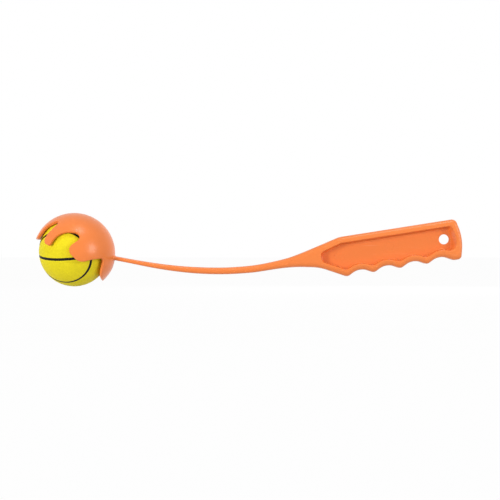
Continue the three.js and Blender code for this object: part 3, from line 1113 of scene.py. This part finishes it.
def rubber_material(rubber, seam, seam_width):
    """Grained rubber with dark seams, each seam where the surface lies within half its width. The grain's
    pits are painted darker and its higher ground lighter, as painted shade.
    """
    name = "Pebbled yellow rubber"
    if name in bpy.data.materials:
        return bpy.data.materials[name]
    material, tree, shader, place = fresh_material(name)
    tone = placed_group(tree, surface_tone_group(), (-900, 200), place, scale=60, spread=0.1, color=rubber)
    # Painted shade: the grain's height darkens the rubber in its pits and lightens it on the higher ground
    height = add_node(tree, "ShaderNodeAttribute", (-900, 450), attribute_name="grain_height")
    painted_pit_shade = add_range(tree, (-700, 450), height.outputs["Fac"], to_min=0.3, to_max=1.08)
    inputs = {"Value": painted_pit_shade, "Color": tone.outputs["Color"]}
    painted_shade_tone = add_node(tree, "ShaderNodeHueSaturation", (-500, 300), inputs)
    gap = add_node(tree, "ShaderNodeAttribute", (-900, 0), attribute_name="seam_distance")
    half = in_mm(seam_width) / 2
    ends = {"from_min": half + SEAM_FEATHER, "from_max": half - SEAM_FEATHER}
    painted = add_range(tree, (-700, 0), gap.outputs["Fac"], **ends)
    inputs = {"Factor": painted, "A": painted_shade_tone.outputs["Color"], "B": seam}
    mixed = add_node(tree, "ShaderNodeMix", (-300, 200), inputs, data_type="RGBA")
    feed(tree, shader, {
        "Base Color": mixed.outputs["Result"],
        "Roughness": add_range(tree, (-500, -50), tone.outputs["Mask"], to_min=0.5, to_max=0.62),
        "Specular IOR Level": 0.15,
        "Normal": fine_bump(tree, place, 3000, 0.3, RUBBER_BUMP),
    })
    return material


# Finished pieces

def finish_piece(bm, name, centre, material, body, nodes, sharp_angle):
    """Bring a piece to its place in metres, attach it to the body it rides with, and hide the CAD parts it
    stands in for.
    """
    bmesh.ops.recalc_face_normals(bm, faces=bm.faces[:])
    matrix = Matrix.Translation(centre) @ Matrix.Scale(METRES_PER_MM, 4)
    bmesh.ops.transform(bm, matrix=matrix, verts=bm.verts[:])
    mesh = bpy.data.meshes.new(name)
    bm.to_mesh(mesh)
    bm.free()
    mesh.polygons.foreach_set("use_smooth", [True] * len(mesh.polygons))
    mesh.set_sharp_from_angle(angle=sharp_angle)
    mesh.materials.append(material)
    piece = bpy.data.objects.new(name, mesh)
    bpy.context.scene.collection.objects.link(piece)
    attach(piece, body)
    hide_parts(*nodes)


def finish_moulding(context, bm, name, nodes):
    """Finish one of the three sections of the orange moulding."""
    material = plastic_material(context.scene.thrower_stage.plastic)
    finish_piece(bm, name, CUP_CENTRE, material, "thrower", nodes, SMOOTH_BELOW)


class THROWER_OT_ball(bpy.types.Operator):
    """Build the grained rubber ball with its seams"""

    bl_idname = "thrower.ball"
    bl_label = "Ball"

    def execute(self, context):
        settings = context.scene.thrower_ball
        material = rubber_material(settings.rubber, settings.seam, settings.seam_width)
        bm = ball_mesh(settings)
        finish_piece(bm, "rubber_ball", BALL_CENTRE, material, "ball", ["ball"], math.pi)
        return {"FINISHED"}


class THROWER_OT_cup(bpy.types.Operator):
    """Build the cup with its prongs and the stub of the wand"""

    bl_idname = "thrower.cup"
    bl_label = "Cup"

    def execute(self, context):
        bm = cup_mesh(context.scene.thrower_cup, context.scene.thrower_lever)
        finish_moulding(context, bm, "pronged_cup", ["cup"])
        return {"FINISHED"}


class THROWER_OT_wand(bpy.types.Operator):
    """Build the sprung wand between the cup and the grip"""

    bl_idname = "thrower.wand"
    bl_label = "Wand"

    def execute(self, context):
        bm = lever_mesh(context.scene.thrower_lever)
        keep_between(bm, in_mm(STUB_END - CUP_CENTRE.x), in_mm(HANDLE_START - CUP_CENTRE.x))
        finish_moulding(context, bm, "sprung_wand", ["wand"])
        return {"FINISHED"}


class THROWER_OT_handle(bpy.types.Operator):
    """Build the grooved grip with its recesses and its hang hole"""

    bl_idname = "thrower.handle"
    bl_label = "Handle"

    def execute(self, context):
        bm = lever_mesh(context.scene.thrower_lever)
        keep_between(bm, in_mm(HANDLE_START - CUP_CENTRE.x), None)
        finish_moulding(context, bm, "grooved_handle", ["handle"])
        return {"FINISHED"}


# The stage

def white_for_the_eye(tree, lit, white, white_share):
    """Mix a lit shader with a plain white one for rays that the eye, a gloss or a glass sends."""
    rays = add_node(tree, "ShaderNodeLightPath", (-800, 300)).outputs
    seen = add_math(tree, (-600, 300), "ADD", rays["Is Camera Ray"], rays["Is Glossy Ray"])
    also = add_math(tree, (-400, 300), "ADD", seen, rays["Is Transmission Ray"], clamped=True)
    share = add_math(tree, (-200, 300), "MULTIPLY", also, white_share)
    return add_node(tree, "ShaderNodeMixShader", (200, 200), {0: share, 1: lit, 2: white}).outputs["Shader"]


def floor_material(base):
    material = bpy.data.materials.new("Pale studio floor")
    material.use_nodes = True
    tree = material.node_tree
    tree.nodes.clear()
    matt = add_node(tree, "ShaderNodeBsdfDiffuse", (-200, 0), {"Color": base}).outputs["BSDF"]
    white = add_node(tree, "ShaderNodeEmission", (-200, -200)).outputs["Emission"]
    surface = white_for_the_eye(tree, matt, white, FLOOR_WHITE_SHARE)
    add_node(tree, "ShaderNodeOutputMaterial", (400, 200), {"Surface": surface})
    return material


def add_area_light(name, place, size, power, mirrored):
    lamp = bpy.data.lights.new(name, "AREA")
    lamp.shape = "DISK"
    lamp.size = size
    lamp.energy = power
    light = bpy.data.objects.new(name, lamp)
    light.location = place
    light.rotation_euler = (-Vector(place)).to_track_quat("-Z", "Y").to_euler()
    light.visible_camera = False
    light.visible_glossy = mirrored
    bpy.context.scene.collection.objects.link(light)


def add_floor(scene, base):
    low, _ = cad_box
    bm = bmesh.new()
    bmesh.ops.create_grid(bm, x_segments=1, y_segments=1, size=FLOOR_HALF_WIDTH)
    bmesh.ops.translate(bm, verts=bm.verts[:], vec=(0, 0, low.z - FLOOR_GAP))
    mesh = bpy.data.meshes.new("studio_floor")
    bm.to_mesh(mesh)
    bm.free()
    mesh.materials.append(floor_material(base))
    floor = bpy.data.objects.new("studio_floor", mesh)
    scene.collection.objects.link(floor)


def add_background(tree, place, strength):
    inputs = {"Color": (1, 1, 1, 1), "Strength": strength}
    return add_node(tree, "ShaderNodeBackground", place, inputs).outputs["Background"]


def set_world(scene):
    """Soft light from all round, seen as plain white."""
    world = bpy.data.worlds.new("Studio")
    world.use_nodes = True
    scene.world = world
    tree = world.node_tree
    tree.nodes.clear()
    soft = add_background(tree, (-200, 0), SOFT_LIGHT)
    white = add_background(tree, (-200, -200), 1)
    surface = white_for_the_eye(tree, soft, white, 1)
    add_node(tree, "ShaderNodeOutputWorld", (400, 200), {"Surface": surface})


def add_camera(scene, distance, view_width):
    """A camera square to the thrower's side, whose view has a set width there."""
    camera = bpy.data.cameras.new("Photograph")
    camera.sensor_width = SENSOR_WIDTH
    camera.lens = SENSOR_WIDTH * distance / view_width
    camera.clip_end = FARTHEST_SEEN
    viewer = bpy.data.objects.new("Photograph", camera)
    viewer.location = (CAMERA_SHIFT[0], -distance, CAMERA_SHIFT[1])
    viewer.rotation_euler = (math.pi / 2, 0, 0)
    scene.collection.objects.link(viewer)
    scene.camera = viewer


class THROWER_OT_stage(bpy.types.Operator):
    """Set up the floor, the soft lights and the camera"""

    bl_idname = "thrower.stage"
    bl_label = "Stage"

    def execute(self, context):
        scene = context.scene
        settings = scene.thrower_stage
        add_floor(scene, settings.floor)
        set_world(scene)
        for lamp in LAMPS:
            add_area_light(*lamp)
        add_camera(scene, settings.camera_distance, settings.view_width)
        scene.view_settings.view_transform = "Standard"
        return {"FINISHED"}


# The sidebar and the add-on's registration

OPERATORS = (THROWER_OT_stage, THROWER_OT_ball, THROWER_OT_cup, THROWER_OT_wand, THROWER_OT_handle)
SETTINGS = {
    "thrower_ball": ThrowerBallSettings,
    "thrower_cup": ThrowerCupSettings,
    "thrower_lever": ThrowerLeverSettings,
    "thrower_stage": ThrowerStageSettings,
}


class THROWER_PT_panel(bpy.types.Panel):
    """Lists the thrower's sizes and its operators"""

    bl_idname = "THROWER_PT_panel"
    bl_label = "Dog ball thrower"
    bl_space_type = "VIEW_3D"
    bl_region_type = "UI"
    bl_category = "Thrower"

    def draw(self, context):
        for name in SETTINGS:
            box = self.layout.box()
            settings = getattr(context.scene, name)
            for key in settings.__annotations__:
                box.prop(settings, key)
        for operator in OPERATORS:
            self.layout.operator(operator.bl_idname)


def register():
    for name, group in SETTINGS.items():
        bpy.utils.register_class(group)
        setattr(bpy.types.Scene, name, bpy.props.PointerProperty(type=group))
    for operator in OPERATORS:
        bpy.utils.register_class(operator)
    bpy.utils.register_class(THROWER_PT_panel)


def unregister():
    bpy.utils.unregister_class(THROWER_PT_panel)
    for operator in reversed(OPERATORS):
        bpy.utils.unregister_class(operator)
    for name, group in reversed(SETTINGS.items()):
        delattr(bpy.types.Scene, name)
        bpy.utils.unregister_class(group)


def main():
    register()
    bpy.ops.thrower.stage()
    bpy.ops.thrower.ball()
    bpy.ops.thrower.cup()
    bpy.ops.thrower.wand()
    bpy.ops.thrower.handle()


if __name__ == "__main__":
    main()
